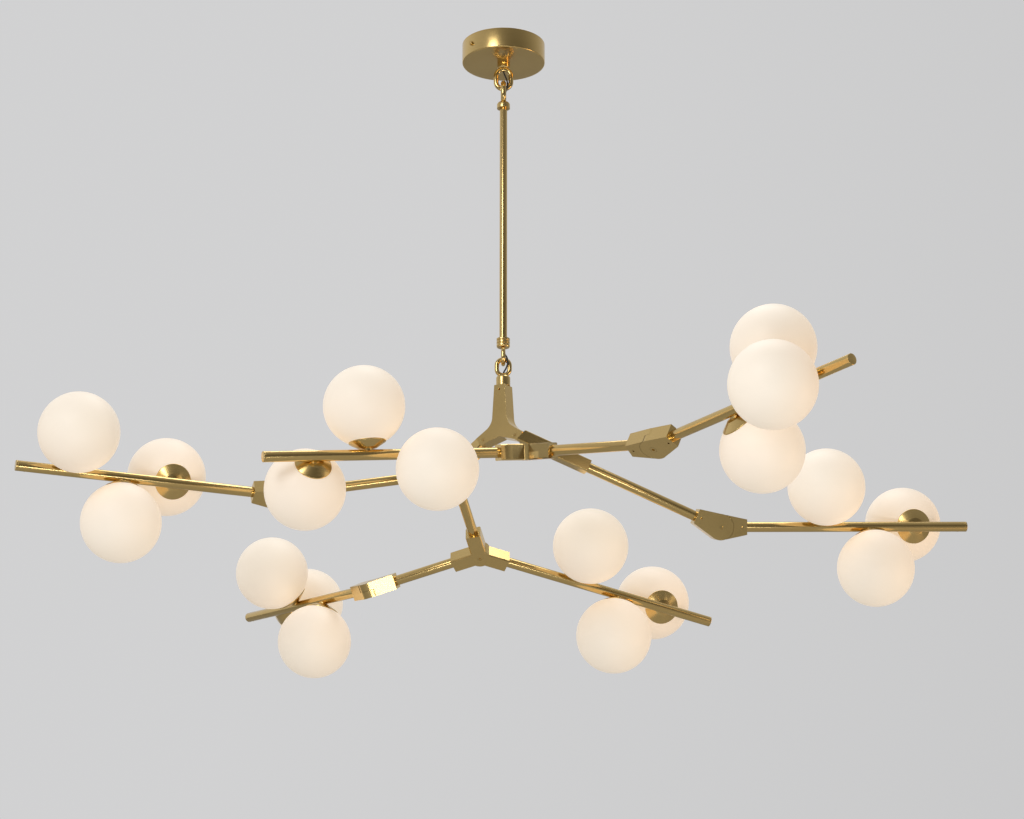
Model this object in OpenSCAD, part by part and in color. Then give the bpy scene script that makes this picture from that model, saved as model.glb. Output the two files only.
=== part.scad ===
/* Branch chandelier: canopy, hinged down rod, a branching hub and six bars of three globes.
   Origin: middle of the ceiling face. +Z is up, -Y is the viewer's side, +X is to the right. */

/* [Canopy] */
// Outer diameter of the canopy
canopy_d = 134; // [120:1:180]
// Height of the canopy
canopy_h = 33; // [30:1:50]
// Sheet thickness of the canopy
canopy_wall = 1.2; // [0.8:0.1:2]
// Heading of the two rim screws
rim_screw_yaw = 40; // [0:5:180]
// Width of the ceiling bracket
bracket_w = 24; // [20:1:30]
// Thickness of the ceiling bracket
bracket_t = 2.5; // [2:0.5:4]
// Drop of the bracket's middle below the ceiling
bracket_drop = 14; // [12:1:18]
// Distance between the two ceiling screws
ceiling_hole_pitch = 102; // [94:1:106]
// Diameter of the ceiling screw holes
ceiling_hole_d = 5; // [4:0.5:6]

/* [Loops] */
// Bar thickness of the canopy loop
canopy_loop_bar = 8; // [6:0.5:8]
// Width of the canopy loop
canopy_loop_w = 32; // [31:1:38]
// Height of the canopy loop
canopy_loop_h = 42; // [38:1:50]
// Height of the collar above the canopy loop
canopy_collar_h = 9; // [6:1:14]
// Bar thickness of the rod's top loop
top_loop_bar = 9; // [7:0.5:9]
// Width of the rod's top loop
top_loop_w = 33; // [32:1:38]
// Height of the rod's top loop
top_loop_h = 40; // [36:1:50]
// Bar thickness of the two lower loops
low_loop_bar = 7; // [5:0.5:7]
// Width of the two lower loops
low_loop_w = 27; // [26:1:34]
// Height of the rod's bottom loop
low_loop_h = 32; // [29:1:40]
// Height of the loop on the hub
hub_loop_h = 33; // [29:1:40]
// Diameter of the threaded shank in the canopy
shank_d = 10; // [8:1:12]

/* [Rod] */
// Outer diameter of the down rod
rod_d = 12; // [9:1:16]
// Wall thickness of the down rod
rod_wall = 1.5; // [1:0.5:2]
// Length of the down rod that shows between its collars
rod_len = 390; // [200:5:900]
// Diameter of the collars on the rod
rod_collar_d = 21; // [19:1:26]
// Height of the collar at the top of the rod
top_collar_h = 10; // [9:1:16]
// Height of the ridged collar at the bottom of the rod
low_collar_h = 15; // [12:1:20]
// Diameter of the cable
cable_d = 2.6; // [1.5:0.1:2.6]

/* [Branch tubes] */
// Outer diameter of every branch tube and bar
tube_d = 16; // [12:0.5:18]
// Wall thickness of every branch tube and bar
tube_wall = 1.2; // [0.8:0.1:2]
// Depth of a tube in its socket
socket_depth = 18; // [10:1:20]
// Length of a bar that shows, from its socket to its end
bar_len = 360; // [345:5:420]
// Length of the left fixed bar outside its socket
fore_bar_len = 365; // [345:5:420]
// Length of the right fixed bar outside its socket
far_bar_len = 355; // [335:5:420]
// Length of the back bar that shows
back_bar_len = 342; // [335:1:420]

/* [Lamps] */
// Outer diameter of a glass globe
globe_d = 120; // [116:1:122]
// Thickness of the glass
globe_wall = 2.5; // [2:0.5:4]
// Distance of a globe's centre from the bar's axis
globe_reach = 73; // [72.5:0.5:76]
// Distance of the outermost globe from the bar's end
lamp_first = 80; // [70:1:90]
// Distance between lamps along a bar
lamp_pitch = 80; // [76:1:82]
// Turn from one lamp to the next around the bar
lamp_turn = 120; // [115:1:125]
// Diameter of a cup's rim
cup_d = 55; // [46:1:56]
// Diameter of a cup's foot on the bar
cup_foot_d = 14; // [10:1:16]
// Opening in the bottom of a globe
globe_hole_d = 24; // [22:1:25]
// Diameter of a lampholder
holder_d = 20; // [18:1:21]
// Height of a lampholder above the cup's floor
holder_h = 20; // [16:1:24]
// Diameter of a bulb
bulb_d = 16; // [12:1:18]
// Length of a bulb above its holder
bulb_len = 45; // [30:1:50]

/* [Hub] */
// Side of the square legs and thickness of the blocks
leg_w = 24; // [22:1:28]
// Length of a block's leg from its centre to its end
leg_len = 46; // [44:1:52]
// Length of the leg that holds the left fixed bar
long_leg_len = 48; // [44:1:60]
// Length of the straight leg that holds the right tube
side_leg_len = 110; // [100:1:130]
// Side of the square legs at the riser's feet
foot_leg_w = 20; // [18:0.5:24]
// Heading of the riser's plane
riser_yaw = -30; // [-40:1:-20]
// Thickness of the riser
riser_t = 24; // [20:1:28]
// Width of the riser at its top
riser_top_w = 18.6; // [18:0.1:20]
// Width of the riser where the feet begin
riser_low_w = 25.5; // [24:0.1:28]
// Height from the riser's top to its feet
riser_drop = 89; // [80:1:95]
// Distance of a foot's end from the rod's axis
foot_reach = 37; // [34:1:40]
// Slope of the feet below level
foot_slope = 33; // [25:1:38]
// Height of a foot across its slope
foot_w = 16.5; // [14:0.5:20]
// Radius of the hollow curve between stem and foot
riser_fillet = 24; // [18:1:34]
// Diameter of the collar under the hub's loop
hub_collar_d = 22; // [18:0.5:26]
// Height of the collar under the hub's loop
hub_collar_h = 16; // [10:1:20]

/* [Knuckles] */
// Radius of a knuckle's round end
knuckle_r = 20.5; // [20:0.5:24]
// Length of a knuckle half from its pin to its socket end
knuckle_len = 42; // [42:1:46]
// Diameter of a knuckle's pivot screw
pivot_d = 6; // [5:0.5:8]
// Gap between the two halves of a knuckle
lap_gap = 0.3; // [0.2:0.1:0.6]

/* [Branch headings] */
// Run from the riser's right foot to the front block
front_run = 100; // [90:1:115]
// Heading of that run
front_yaw = -86.6; // [-90:0.1:-80]
// Rise of that run
front_rise = -27.5; // [-32:0.1:-24]
// Run from the riser's left foot to the rear block
rear_run = 65; // [60:1:80]
// Heading of that run
rear_yaw = -173.1; // [-176:0.1:-165]
// Rise of that run
rear_rise = -46; // [-52:0.1:-42]
// Run of the front tube from its block to its knuckle pin
front_tube_run = 227; // [150:1:300]
// Heading of the front tube
front_tube_yaw = -35.6; // [-40:0.1:-30]
// Rise of the front tube
front_tube_rise = -5.7; // [-8:0.1:-3]
// Run of the right tube from the riser's foot to its knuckle pin
right_tube_run = 338; // [300:1:400]
// Heading of the right tube
right_tube_yaw = 14.9; // [12:0.1:18]
// Rise of the right tube
right_tube_rise = -21.1; // [-25:0.1:-18]
// Run of the left tube from its block to its knuckle pin
left_tube_run = 270.6; // [200:1:320]
// Heading of the left tube
left_tube_yaw = -175.3; // [-180:0.1:-170]
// Rise of the left tube
left_tube_rise = -8.8; // [-12:0.1:-6]
// Run of the link tube from the rear block to the far block
link_run = 172.6; // [160:1:200]
// Heading of the link tube
link_yaw = 73.8; // [70:0.1:78]
// Rise of the link tube
link_rise = -34.8; // [-38:0.1:-32]
// Run of the back tube from the far block to its knuckle pin
back_tube_run = 188.2; // [160:1:220]
// Heading of the back tube
back_tube_yaw = 161.9; // [158:0.1:166]
// Rise of the back tube
back_tube_rise = -13.6; // [-16:0.1:-10]

/* [Bar headings] */
// Heading of the front bar
front_bar_yaw = -53.6; // [-58:0.1:-48]
// Rise of the front bar
front_bar_rise = 3.8; // [0:0.1:6]
// Clock angle of the front bar's outer lamp
front_bar_clock = 251.5; // [240:0.5:260]
// Heading of the right bar
right_bar_yaw = 8.6; // [4:0.1:12]
// Rise of the right bar
right_bar_rise = 2.1; // [0:0.1:5]
// Clock angle of the right bar's outer lamp
right_bar_clock = 74.9; // [65:0.1:85]
// Heading of the left bar
left_bar_yaw = -159.2; // [-164:0.1:-155]
// Rise of the left bar
left_bar_rise = 1.4; // [-2:0.1:4]
// Clock angle of the left bar's outer lamp
left_bar_clock = 51.1; // [42:0.1:60]
// Heading of the back bar
back_bar_yaw = 127.3; // [122:0.1:132]
// Rise of the back bar
back_bar_rise = 1.7; // [-2:0.1:4]
// Clock angle of the back bar's outer lamp
back_bar_clock = 287.9; // [280:0.1:296]
// Heading of the left fixed bar
fore_bar_yaw = -157.6; // [-162:0.1:-153]
// Rise of the left fixed bar
fore_bar_rise = -6.8; // [-9:0.1:-4]
// Clock angle of the left fixed bar's outer lamp
fore_bar_clock = 241.2; // [232:0.1:250]
// Heading of the right fixed bar
far_bar_yaw = 17.3; // [13:0.1:21]
// Rise of the right fixed bar
far_bar_rise = -12.6; // [-15:0.1:-10]
// Clock angle of the right fixed bar's outer lamp
far_bar_clock = 71.4; // [62:0.1:80]

/* [Hidden] */
$fn = 48;
up = [0, 0, 1];
over = 1;
fit = 0.1;
seat = 0.3;
run_fit = 0.05;
lamps = 3;
brass = [0.80, 0.62, 0.33];
glass = [0.98, 0.95, 0.88];
black = [0.05, 0.05, 0.05];
white = [0.92, 0.92, 0.90];
steel = [0.70, 0.70, 0.68];

// Screws and nuts
screw_d = 4;
screw_head_d = 7;
screw_head_h = 3;
pin_hole_d = 3;
pin_hole_in = 8;
bar_pin_in = 14;
nut_w = 17;
nut_h = 5;
cable_bore_d = 6;

// Heights down the rod's axis
ear_drop = 24;
loop_sink = 3;
collar_sink = 2;
loop_joint_z = -canopy_h - canopy_collar_h + loop_sink;
canopy_loop_foot_z = loop_joint_z - canopy_loop_h + canopy_loop_bar / 2;
top_hinge = [0, 0, canopy_loop_foot_z];
top_loop_top_z = canopy_loop_foot_z + canopy_loop_bar / 2 + seat + top_loop_bar;
top_collar_z = top_loop_top_z - top_loop_h + collar_sink;
rod_top_z = top_collar_z - top_collar_h;
rod_low_z = rod_top_z - rod_len;
top_rod_stop = 3;
low_rod_stop = 4;
low_loop_top_z = rod_low_z - low_collar_h + collar_sink;
low_loop_foot_z = low_loop_top_z - low_loop_h + low_loop_bar / 2;
low_hinge = [0, 0, low_loop_foot_z];
hub_loop_top_z = low_loop_foot_z + low_loop_bar / 2 + seat + low_loop_bar;
hub_collar_top_z = hub_loop_top_z - hub_loop_h + collar_sink;
riser_top_z = hub_collar_top_z - hub_collar_h;
foot_z = riser_top_z - riser_drop;

// Directions and centres of the branching
function dir(yaw, rise) = [cos(rise) * cos(yaw), cos(rise) * sin(yaw), sin(rise)];
function unit(v) = v / norm(v);
function turn_to(x, d, normal) = atan2(cross(x, d) * normal, x * d);
right_foot = [foot_reach * cos(riser_yaw), foot_reach * sin(riser_yaw), foot_z];
left_foot = [-right_foot[0], -right_foot[1], foot_z];
front_at = right_foot + front_run * dir(front_yaw, front_rise);
rear_at = left_foot + rear_run * dir(rear_yaw, rear_rise);
link_dir = dir(link_yaw, link_rise);
far_at = rear_at + link_run * link_dir;
front_tube_dir = dir(front_tube_yaw, front_tube_rise);
right_tube_dir = dir(right_tube_yaw, right_tube_rise);
left_tube_dir = dir(left_tube_yaw, left_tube_rise);
back_tube_dir = dir(back_tube_yaw, back_tube_rise);
front_pin = front_at + front_tube_run * front_tube_dir;
right_pin = right_foot + right_tube_run * right_tube_dir;
left_pin = rear_at + left_tube_run * left_tube_dir;
back_pin = far_at + back_tube_run * back_tube_dir;
front_dir = dir(front_bar_yaw, front_bar_rise);
right_dir = dir(right_bar_yaw, right_bar_rise);
left_dir = dir(left_bar_yaw, left_bar_rise);
back_dir = dir(back_bar_yaw, back_bar_rise);
fore_dir = dir(fore_bar_yaw, fore_bar_rise);
far_dir = dir(far_bar_yaw, far_bar_rise);
front_axis = unit(cross(front_tube_dir, front_dir));
right_axis = unit(cross(right_tube_dir, right_dir));
left_axis = unit(cross(left_tube_dir, left_dir));
back_axis = unit(cross(back_tube_dir, back_dir));
front_normal = unit(cross(fore_dir, front_tube_dir));
rear_normal = unit(cross(left_tube_dir, link_dir));
far_normal = unit(cross(far_dir, back_tube_dir));

// Each bar ends this far from its pin or its block's centre
arm_end = knuckle_len + bar_len;
back_arm_end = knuckle_len + back_bar_len;
fore_end = long_leg_len + fore_bar_len;
far_end = leg_len + far_bar_len;

// Heights along a lamp, measured from the bar's axis
globe_r = globe_d / 2;
floor_h = tube_d / 2 + 3.5;
rim_h = globe_reach - sqrt(pow(globe_r + seat, 2) - pow(cup_d / 2, 2));
heel_r = globe_hole_d / 2 + 1.5;
heel_h = floor_h - 1.7;
skirt_h = 7;
tube_r = tube_d / 2;
bore_d = tube_d - 2 * tube_wall;
socket_d = tube_d + 2 * fit;

echo(top_hinge = top_hinge, low_hinge = low_hinge);
echo(front_pin = front_pin, front_axis = front_axis, front_dir = front_dir);
echo(right_pin = right_pin, right_axis = right_axis, right_dir = right_dir);
echo(left_pin = left_pin, left_axis = left_axis, left_dir = left_dir);
echo(back_pin = back_pin, back_axis = back_axis, back_dir = back_dir);

// Moves a shape to o, turns its X onto x and brings its Z as near z as it can
module place(o, x, z) {
    ux = unit(x);
    uy = unit(cross(z, ux));
    uz = cross(ux, uy);
    multmatrix([
        [ux[0], uy[0], uz[0], o[0]],
        [ux[1], uy[1], uz[1], o[1]],
        [ux[2], uy[2], uz[2], o[2]],
        [0, 0, 0, 1]
    ]) children();
}

// Round bar along X between two distances
module rod_x(d, from, to) {
    translate([from, 0, 0]) rotate([0, 90, 0]) cylinder(d = d, h = to - from);
}

// Oval link in the XZ plane, its top at z = 0
module oval_link(bar, width, height) {
    mid_r = (width - bar) / 2;
    straight = height - bar - 2 * mid_r;
    translate([0, 0, -bar / 2 - mid_r]) {
        rotate([90, 0, 0]) rotate_extrude(angle = 180) translate([mid_r, 0]) circle(d = bar);
        translate([0, 0, -straight])
            rotate([-90, 0, 0]) rotate_extrude(angle = 180) translate([mid_r, 0]) circle(d = bar);
        for (side = [-1, 1])
            translate([side * mid_r, 0, -straight]) cylinder(d = bar, h = straight);
    }
}

// Smooth curve through a list of points
cable_steps = 4;
function knot(p, i) = p[max(0, min(len(p) - 1, i))];
function curve_point(a, b, c, d, t) =
    0.5 * (2 * b + (c - a) * t + (2 * a - 5 * b + 4 * c - d) * t * t + (3 * b - a - 3 * c + d) * t * t * t);
function smooth(p) = [
    for (i = [0:len(p) - 2], k = [0:cable_steps - 1])
        curve_point(knot(p, i - 1), p[i], p[i + 1], knot(p, i + 2), k / cable_steps),
    p[len(p) - 1]
];
function ring(p, i, d, sides) =
    let (t = unit(knot(p, i + 1) - knot(p, i - 1)),
         u = unit(cross([0, 1, 0.02], t)),
         v = cross(t, u))
    [for (k = [0:sides - 1]) p[i] + d / 2 * (cos(360 * k / sides) * u + sin(360 * k / sides) * v)];

// Cable of diameter d along the points
module cable(points, d) {
    sides = 8;
    p = smooth(points);
    n = len(p);
    rings = [for (i = [0:n - 1]) each ring(p, i, d, sides)];
    walls = [for (i = [0:n - 2], k = [0:sides - 1]) each [
        [i * sides + k, i * sides + (k + 1) % sides, (i + 1) * sides + k],
        [i * sides + (k + 1) % sides, (i + 1) * sides + (k + 1) % sides, (i + 1) * sides + k]
    ]];
    ends = [for (k = [1:sides - 2]) each [
        [0, k + 1, k],
        [(n - 1) * sides, (n - 1) * sides + k, (n - 1) * sides + k + 1]
    ]];
    polyhedron(points = rings, faces = concat(walls, ends));
}

// ---------- Ceiling ----------

module ceiling_bracket() {
    foot_in = ceiling_hole_pitch / 2 - 12;
    ear_r = sqrt(pow(canopy_d / 2 - canopy_wall - seat, 2) - pow(bracket_w / 2, 2));
    half = [
        [-over, -bracket_drop], [foot_in - bracket_t, -bracket_drop], [foot_in - bracket_t, 0], [ear_r, 0],
        [ear_r, -ear_drop], [ear_r - bracket_t, -ear_drop], [ear_r - bracket_t, -bracket_t],
        [foot_in, -bracket_t], [foot_in, -bracket_drop - bracket_t], [-over, -bracket_drop - bracket_t]
    ];
    color(steel) rotate([0, 0, rim_screw_yaw]) difference() {
        union() {
            for (side = [0, 1]) mirror([side, 0, 0])
                rotate([90, 0, 0]) translate([0, 0, -bracket_w / 2]) linear_extrude(bracket_w) polygon(half);
        }
        translate([0, 0, -bracket_drop - bracket_t - over])
            cylinder(d = shank_d + 2 * fit, h = bracket_t + 2 * over);
        for (side = [-1, 1]) {
            translate([side * ceiling_hole_pitch / 2, 0, -bracket_t - over])
                cylinder(d = ceiling_hole_d, h = bracket_t + 2 * over);
            translate([0, 0, -canopy_h / 2])
                rod_x(screw_d + 2 * fit, side > 0 ? ear_r - bracket_t - over : -ear_r - over,
                    side > 0 ? ear_r + over : -ear_r + bracket_t + over);
        }
    }
}

module canopy() {
    r = canopy_d / 2;
    edge = 2;
    color(brass) rotate([0, 0, rim_screw_yaw]) difference() {
        translate([0, 0, -canopy_h]) rotate_extrude($fn = 96) difference() {
            union() {
                translate([0, edge]) square([r, canopy_h - edge]);
                square([r - edge, canopy_h]);
                translate([r - edge, edge]) circle(r = edge);
            }
            translate([-over, canopy_wall]) square([r - canopy_wall + over, canopy_h]);
            translate([-over, -over]) square([over, canopy_h + 2 * over]);
        }
        translate([0, 0, -canopy_h - over]) cylinder(d = shank_d + 2 * fit, h = canopy_wall + 2 * over);
        for (side = [0, 180])
            rotate([0, 0, side]) translate([0, 0, -canopy_h / 2])
                rod_x(screw_d + 2 * fit, r - canopy_wall - over, r + over);
    }
}

module canopy_screws() {
    r = canopy_d / 2;
    color(brass) for (side = [0, 180])
        rotate([0, 0, rim_screw_yaw + side]) translate([0, 0, -canopy_h / 2]) difference() {
            union() {
                rod_x(screw_d, r - canopy_wall - 6, r + over);
                rod_x(screw_head_d, r, r + screw_head_h);
            }
            translate([r + screw_head_h / 2, -0.5, -screw_head_d]) cube([screw_head_h, 1, 2 * screw_head_d]);
        }
}

module canopy_loop() {
    color(brass) difference() {
        union() {
            translate([0, 0, -canopy_h - canopy_collar_h]) cylinder(d = 2 * shank_d, h = canopy_collar_h);
            translate([0, 0, -canopy_h - over]) cylinder(d = shank_d, h = canopy_h + over - bracket_drop + 6);
            translate([0, 0, loop_joint_z]) oval_link(canopy_loop_bar, canopy_loop_w, canopy_loop_h);
        }
        translate([0, 0, loop_joint_z - canopy_loop_bar - over]) cylinder(d = cable_bore_d, h = canopy_h + 20);
    }
}

module loop_nuts() {
    color(steel) for (z = [-bracket_drop, -canopy_h + canopy_wall])
        translate([0, 0, z]) difference() {
            cylinder(d = nut_w / cos(30), h = nut_h, $fn = 6);
            translate([0, 0, -over]) cylinder(d = shank_d + 2 * fit, h = nut_h + 2 * over);
        }
}

module terminal_block() {
    block = [18, 20, 10];
    color(white) rotate([0, 0, rim_screw_yaw]) translate([14, -block[1] / 2, -bracket_drop]) difference() {
        cube(block);
        for (row = [0.25, 0.75]) {
            translate([block[0] / 2, block[1] * row, block[2] / 2]) cylinder(d = 4, h = block[2]);
            translate([-over, block[1] * row, block[2] / 3]) rod_x(cable_d + 2 * fit, 0, 6);
        }
    }
}

// The cable leaves the terminal block, turns into the shank and passes the loops one after the other
cable_in_z = -bracket_drop + 10 / 3;
function at_rim_yaw(p) = [
    p[0] * cos(rim_screw_yaw) - p[1] * sin(rim_screw_yaw),
    p[0] * sin(rim_screw_yaw) + p[1] * cos(rim_screw_yaw),
    p[2]
];
canopy_route = [
    at_rim_yaw([14, -5, cable_in_z]),
    [7, 1, -6], [1.5, 0, -5], [0, 0, -12], [0, 0, -30], [0, 0, top_hinge[2] + 31],
    [3.7, -2.4, top_hinge[2] + 19], [5.2, -3.8, top_hinge[2] + 14], [6.1, -5.2, top_hinge[2] + 10],
    [6.3, -6.3, top_hinge[2] + 6]
];
rod_route = [
    [6.4, -7.4, top_hinge[2] + 1.4], [5.9, -6.9, top_hinge[2] - 1.5], [3.4, -4.2, top_hinge[2] - 7.5],
    [1, -1.2, top_hinge[2] - 13.5], [0, 0, top_hinge[2] - 19], [0, 0, rod_top_z], [0, 0, rod_top_z - rod_len / 2],
    [0, 0, rod_low_z], [0, 0, low_hinge[2] + 23.5], [3, -2.7, low_hinge[2] + 14.5],
    [5.2, -4.8, low_hinge[2] + 10], [6.2, -6, low_hinge[2] + 7.5], [6.4, -6.1, low_hinge[2] + 6.2]
];
hub_route = [
    [7, -6.3, low_hinge[2] + 1], [6.8, -6.1, low_hinge[2] - 2], [5.7, -5.2, low_hinge[2] - 5.8],
    [4.2, -3.8, low_hinge[2] - 9], [0, 0, low_hinge[2] - 18], [0, 0, riser_top_z - 10]
];

module cable_canopy() {
    color(black) cable(canopy_route, cable_d);
}

// ---------- Rod ----------

module rod_top_loop() {
    color(brass) difference() {
        union() {
            translate([0, 0, top_loop_top_z]) rotate([0, 0, 90]) oval_link(top_loop_bar, top_loop_w, top_loop_h);
            translate([0, 0, rod_top_z]) cylinder(d = rod_collar_d, h = top_collar_h);
        }
        translate([0, 0, rod_top_z - over])
            cylinder(d = rod_d + 2 * fit, h = top_collar_h - top_rod_stop + over);
        translate([0, 0, rod_top_z]) cylinder(d = cable_bore_d, h = top_collar_h + top_loop_bar);
    }
}

module down_rod() {
    top = rod_top_z + top_collar_h - top_rod_stop;
    low = rod_low_z - low_collar_h + low_rod_stop;
    color(brass) translate([0, 0, low]) difference() {
        cylinder(d = rod_d, h = top - low);
        translate([0, 0, -over]) cylinder(d = rod_d - 2 * rod_wall, h = top - low + 2 * over);
    }
}

module rod_bottom_loop() {
    ridge = 1;
    ridges = 3;
    step = low_collar_h / ridges;
    color(brass) difference() {
        union() {
            translate([0, 0, low_loop_top_z]) rotate([0, 0, 90]) oval_link(low_loop_bar, low_loop_w, low_loop_h);
            translate([0, 0, rod_low_z - low_collar_h]) cylinder(d = rod_collar_d - 2 * ridge, h = low_collar_h);
            for (i = [0:ridges - 1])
                translate([0, 0, rod_low_z - low_collar_h + i * step])
                    cylinder(d = rod_collar_d, h = step - 2 * ridge);
        }
        translate([0, 0, rod_low_z - low_collar_h + low_rod_stop])
            cylinder(d = rod_d + 2 * fit, h = low_collar_h);
        translate([0, 0, low_loop_top_z - low_loop_bar - over]) cylinder(d = cable_bore_d, h = low_collar_h);
    }
}

module cable_rod() {
    color(black) cable(rod_route, cable_d);
}

// ---------- Hub ----------

// Riser's outline in its own plane, its top middle at the origin, with a low arch between the feet
arch_h = 5;
foot_flat = 8;
module riser_outline() {
    half_top = riser_top_w / 2;
    half_low = riser_low_w / 2;
    leg_end = [foot_reach, -riser_drop];
    along = [cos(foot_slope), -sin(foot_slope)];
    across = [sin(foot_slope), cos(foot_slope)] * foot_w / 2;
    line_z = leg_end[1] + across[1] + (leg_end[0] + across[0] - half_low) * tan(foot_slope);
    centre = [half_low + riser_fillet, line_z + riser_fillet * (1 - sin(foot_slope)) / cos(foot_slope)];
    touch = centre - riser_fillet * [sin(foot_slope), cos(foot_slope)];
    for (side = [0, 1]) mirror([side, 0]) {
        polygon([[0, 0], [half_top, 0], [half_low, centre[1]], [half_low, line_z], [0, line_z]]);
        difference() {
            polygon([[0, line_z], [0, centre[1]], [half_low, centre[1]], touch, leg_end,
                [0, -riser_drop + 2 * arch_h]]);
            translate(centre) circle(r = riser_fillet, $fn = 96);
        }
        polygon([[0, line_z], touch, leg_end + across, leg_end - across,
            leg_end - across - along * foot_flat, [0, -riser_drop + arch_h]]);
    }
}

// Moves to the riser's plane, Y up its middle line and Z out of its front face
module at_riser() {
    translate([0, 0, riser_top_z]) rotate([0, 0, riser_yaw]) rotate([90, 0, 0]) children();
}

// Places a screw's or its hole's axis on the riser's front face
riser_screw_in = 8.5;
riser_screw_up = 2.5;
module at_riser_screws() {
    at_riser() for (side = [-1, 1])
        translate([side * (foot_reach - riser_screw_in), -riser_drop + riser_screw_up, riser_t / 2]) children();
}

pin_hole_depth = 5;
pin_hole_drop = 8;
riser_bore_h = 12;
module riser() {
    color(brass) difference() {
        at_riser() translate([0, 0, -riser_t / 2]) linear_extrude(riser_t) riser_outline();
        at_riser_screws() screw_hole();
        at_riser() translate([0, -pin_hole_drop, riser_t / 2 - pin_hole_depth])
            cylinder(d = pin_hole_d, h = pin_hole_depth + over);
        translate([0, 0, riser_top_z - riser_bore_h]) cylinder(d = cable_bore_d, h = riser_bore_h + over);
    }
}

// Hole for a screw whose head lies just below the face at z = 0
screw_len = 9;
module screw_hole() {
    translate([0, 0, -screw_head_h]) cylinder(d = screw_head_d + 2 * fit, h = screw_head_h + over);
    translate([0, 0, -screw_head_h - screw_len - over])
        cylinder(d = screw_d + 2 * fit, h = screw_len + 2 * over);
}

module socket_screw(head_d, head_h, shank, length) {
    difference() {
        union() {
            translate([0, 0, -head_h]) cylinder(d = head_d, h = head_h - seat);
            translate([0, 0, -head_h - length]) cylinder(d = shank, h = length + head_h / 2);
        }
        translate([0, 0, -head_h / 2]) cylinder(d = head_d / 2, h = head_h, $fn = 6);
    }
}

// Square leg with chamfered long edges along X
leg_chamfer = 1.5;
middle_share = 0.68;
module leg(length, w = leg_w) {
    h = w / 2;
    c = h - leg_chamfer;
    rotate([0, 90, 0]) linear_extrude(length)
        polygon([[c, h], [-c, h], [-h, c], [-h, -c], [-c, -h], [c, -h], [h, -c], [h, c]]);
}

module socket(at) {
    rod_x(socket_d, at - socket_depth, at + over);
}

// Two legs in one plane, the first along x and the second along d, and the rounded middle between them
module two_legs(o, x, d, normal, first_len) {
    place(o, x, normal) {
        translate([0, 0, -leg_w / 2]) cylinder(r = leg_w * middle_share, h = leg_w);
        translate([-middle_lap, 0, 0]) leg(first_len + middle_lap);
        rotate([0, 0, turn_to(x, d, normal)]) translate([-middle_lap, 0, 0]) leg(leg_len + middle_lap);
    }
}

module at_block_screw(o, x, normal, side) {
    place(o, x, normal) mirror([0, 0, side]) translate([0, 0, leg_w / 2]) children();
}

// Everything on the riser's side of a foot's flat end
module inside_foot(foot, side) {
    reach = 60;
    place(foot, dir(riser_yaw + side, -foot_slope), up)
        translate([-reach, -reach / 2, -reach / 2]) cube(reach);
}

// Leg from a start point to the inside of a block's middle
foot_lap = 16;
middle_lap = 8;
module leg_to_middle(start, o, normal, lap) {
    place(start, o - start, normal) translate([-lap, 0, 0])
        leg(norm(o - start) + lap - middle_lap, foot_leg_w);
}

// The front block's third leg starts below the side leg, which it holds in a notch
notch_run = 24;
notch_drop = 11;
notch_at = right_foot + notch_run * right_tube_dir - notch_drop * up;
module front_block() {
    color(brass) difference() {
        union() {
            two_legs(front_at, fore_dir, front_tube_dir, front_normal, long_leg_len);
            leg_to_middle(notch_at, front_at, front_normal, 0);
        }
        place(front_at, fore_dir, front_normal) socket(long_leg_len);
        place(front_at, front_tube_dir, front_normal) socket(leg_len);
        at_block_screw(front_at, fore_dir, front_normal, 1) screw_hole();
        side_leg_solid();
    }
}

module side_leg_solid() {
    place(right_foot, right_tube_dir, up) translate([-foot_lap, 0, 0])
        leg(side_leg_len + foot_lap, foot_leg_w);
}

module side_leg() {
    color(brass) difference() {
        side_leg_solid();
        place(right_foot, right_tube_dir, up) socket(side_leg_len);
        inside_foot(right_foot, 0);
    }
}

module rear_block() {
    color(brass) difference() {
        union() {
            two_legs(rear_at, left_tube_dir, link_dir, rear_normal, leg_len);
            leg_to_middle(left_foot, rear_at, rear_normal, foot_lap);
        }
        place(rear_at, left_tube_dir, rear_normal) socket(leg_len);
        place(rear_at, link_dir, rear_normal) socket(leg_len);
        at_block_screw(rear_at, left_tube_dir, rear_normal, 0) screw_hole();
        inside_foot(left_foot, 180);
    }
}

module far_block() {
    color(brass) difference() {
        union() {
            two_legs(far_at, far_dir, back_tube_dir, far_normal, leg_len);
            place(far_at, -link_dir, far_normal) translate([middle_lap, 0, 0]) leg(leg_len - middle_lap);
        }
        for (d = [-link_dir, far_dir, back_tube_dir]) place(far_at, d, far_normal) socket(leg_len);
        at_block_screw(far_at, far_dir, far_normal, far_normal[2] > 0 ? 1 : 0) screw_hole();
    }
}

module hub_loop() {
    color(brass) difference() {
        union() {
            translate([0, 0, hub_loop_top_z]) oval_link(low_loop_bar, low_loop_w, hub_loop_h);
            translate([0, 0, riser_top_z]) cylinder(d = hub_collar_d, h = hub_collar_h);
        }
        translate([0, 0, riser_top_z - over]) cylinder(d = cable_bore_d, h = hub_collar_h + low_loop_bar + over);
    }
}

module cable_hub() {
    color(black) cable(hub_route, cable_d);
}

// A branch tube from one socket's floor to the other's
module branch_tube(o, x, from, to) {
    color(brass) place(o, x, up) difference() {
        rod_x(tube_d, from - socket_depth, to + socket_depth);
        rod_x(bore_d, from - socket_depth - over, to + socket_depth + over);
    }
}

module front_tube() {
    branch_tube(front_at, front_tube_dir, leg_len, front_tube_run - knuckle_len);
}

module right_tube() {
    branch_tube(right_foot, right_tube_dir, side_leg_len, right_tube_run - knuckle_len);
}

module left_tube() {
    branch_tube(rear_at, left_tube_dir, leg_len, left_tube_run - knuckle_len);
}

module link_tube() {
    branch_tube(rear_at, link_dir, leg_len, link_run - leg_len);
}

module back_tube() {
    branch_tube(far_at, back_tube_dir, leg_len, back_tube_run - knuckle_len);
}

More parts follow.
